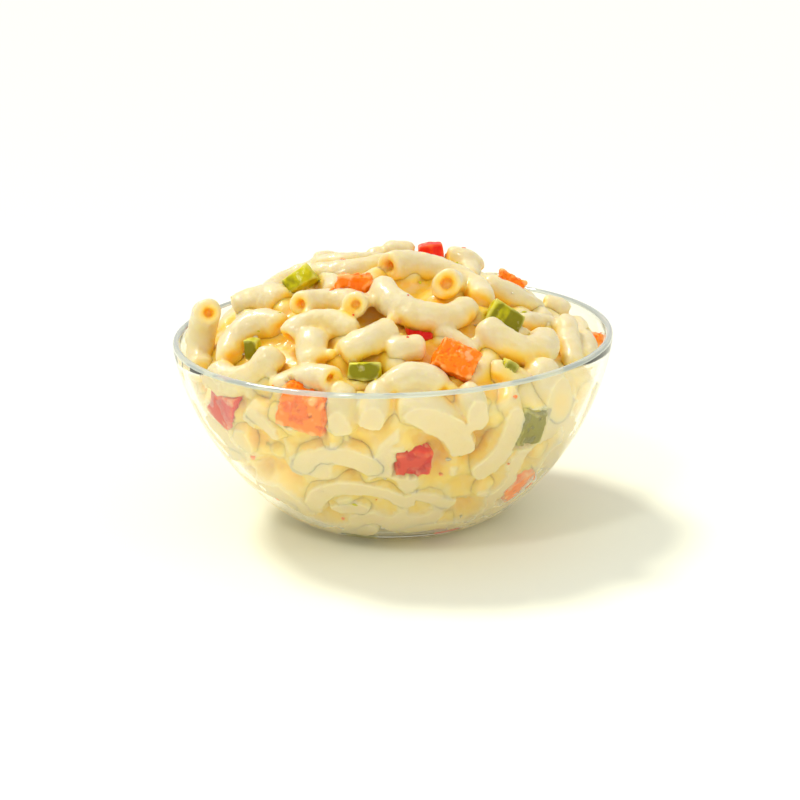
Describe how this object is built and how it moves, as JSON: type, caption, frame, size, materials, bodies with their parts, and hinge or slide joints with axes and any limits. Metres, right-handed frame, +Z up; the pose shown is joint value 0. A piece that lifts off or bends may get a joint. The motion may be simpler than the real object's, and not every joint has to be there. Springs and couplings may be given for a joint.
{
  "type": "bowl of macaroni salad",
  "caption": "Round clear glass bowl heaped with elbow macaroni in creamy dressing, with diced carrot, red pepper and green pepper.",
  "frame": {"origin": "under the middle of the bowl's foot, on the surface it stands on", "axes": "+Z up along the bowl's axis, -Y towards the viewer of the picture, +X to the viewer's right"},
  "size_m": [0.12, 0.12, 0.0748],
  "materials": {
    "clear_glass": "clear, polished",
    "dressed_macaroni": "creamy, glossy where the dressing lies",
    "green_pepper": "moist, satin",
    "carrot": "moist, satin",
    "red_pepper": "moist, satin"
  },
  "bodies": {
    "root": {"bowl": "clear_glass", "macaroni_heap": "dressed_macaroni", "green_pepper_1": "green_pepper", "green_pepper_2": "green_pepper", "green_pepper_3": "green_pepper", "green_pepper_4": "green_pepper", "green_pepper_5": "green_pepper", "green_pepper_6": "green_pepper", "green_pepper_7": "green_pepper", "green_pepper_8": "green_pepper", "green_pepper_9": "green_pepper", "green_pepper_10": "green_pepper", "green_pepper_11": "green_pepper", "carrot_1": "carrot", "carrot_2": "carrot", "carrot_3": "carrot", "carrot_4": "carrot", "carrot_5": "carrot", "carrot_6": "carrot", "carrot_7": "carrot", "carrot_8": "carrot", "carrot_9": "carrot", "carrot_10": "carrot", "carrot_11": "carrot", "carrot_12": "carrot", "red_pepper_1": "red_pepper", "red_pepper_2": "red_pepper", "red_pepper_3": "red_pepper", "red_pepper_4": "red_pepper", "red_pepper_5": "red_pepper", "red_pepper_6": "red_pepper", "red_pepper_7": "red_pepper", "red_pepper_8": "red_pepper", "red_pepper_9": "red_pepper"}
  },
  "joints": []
}
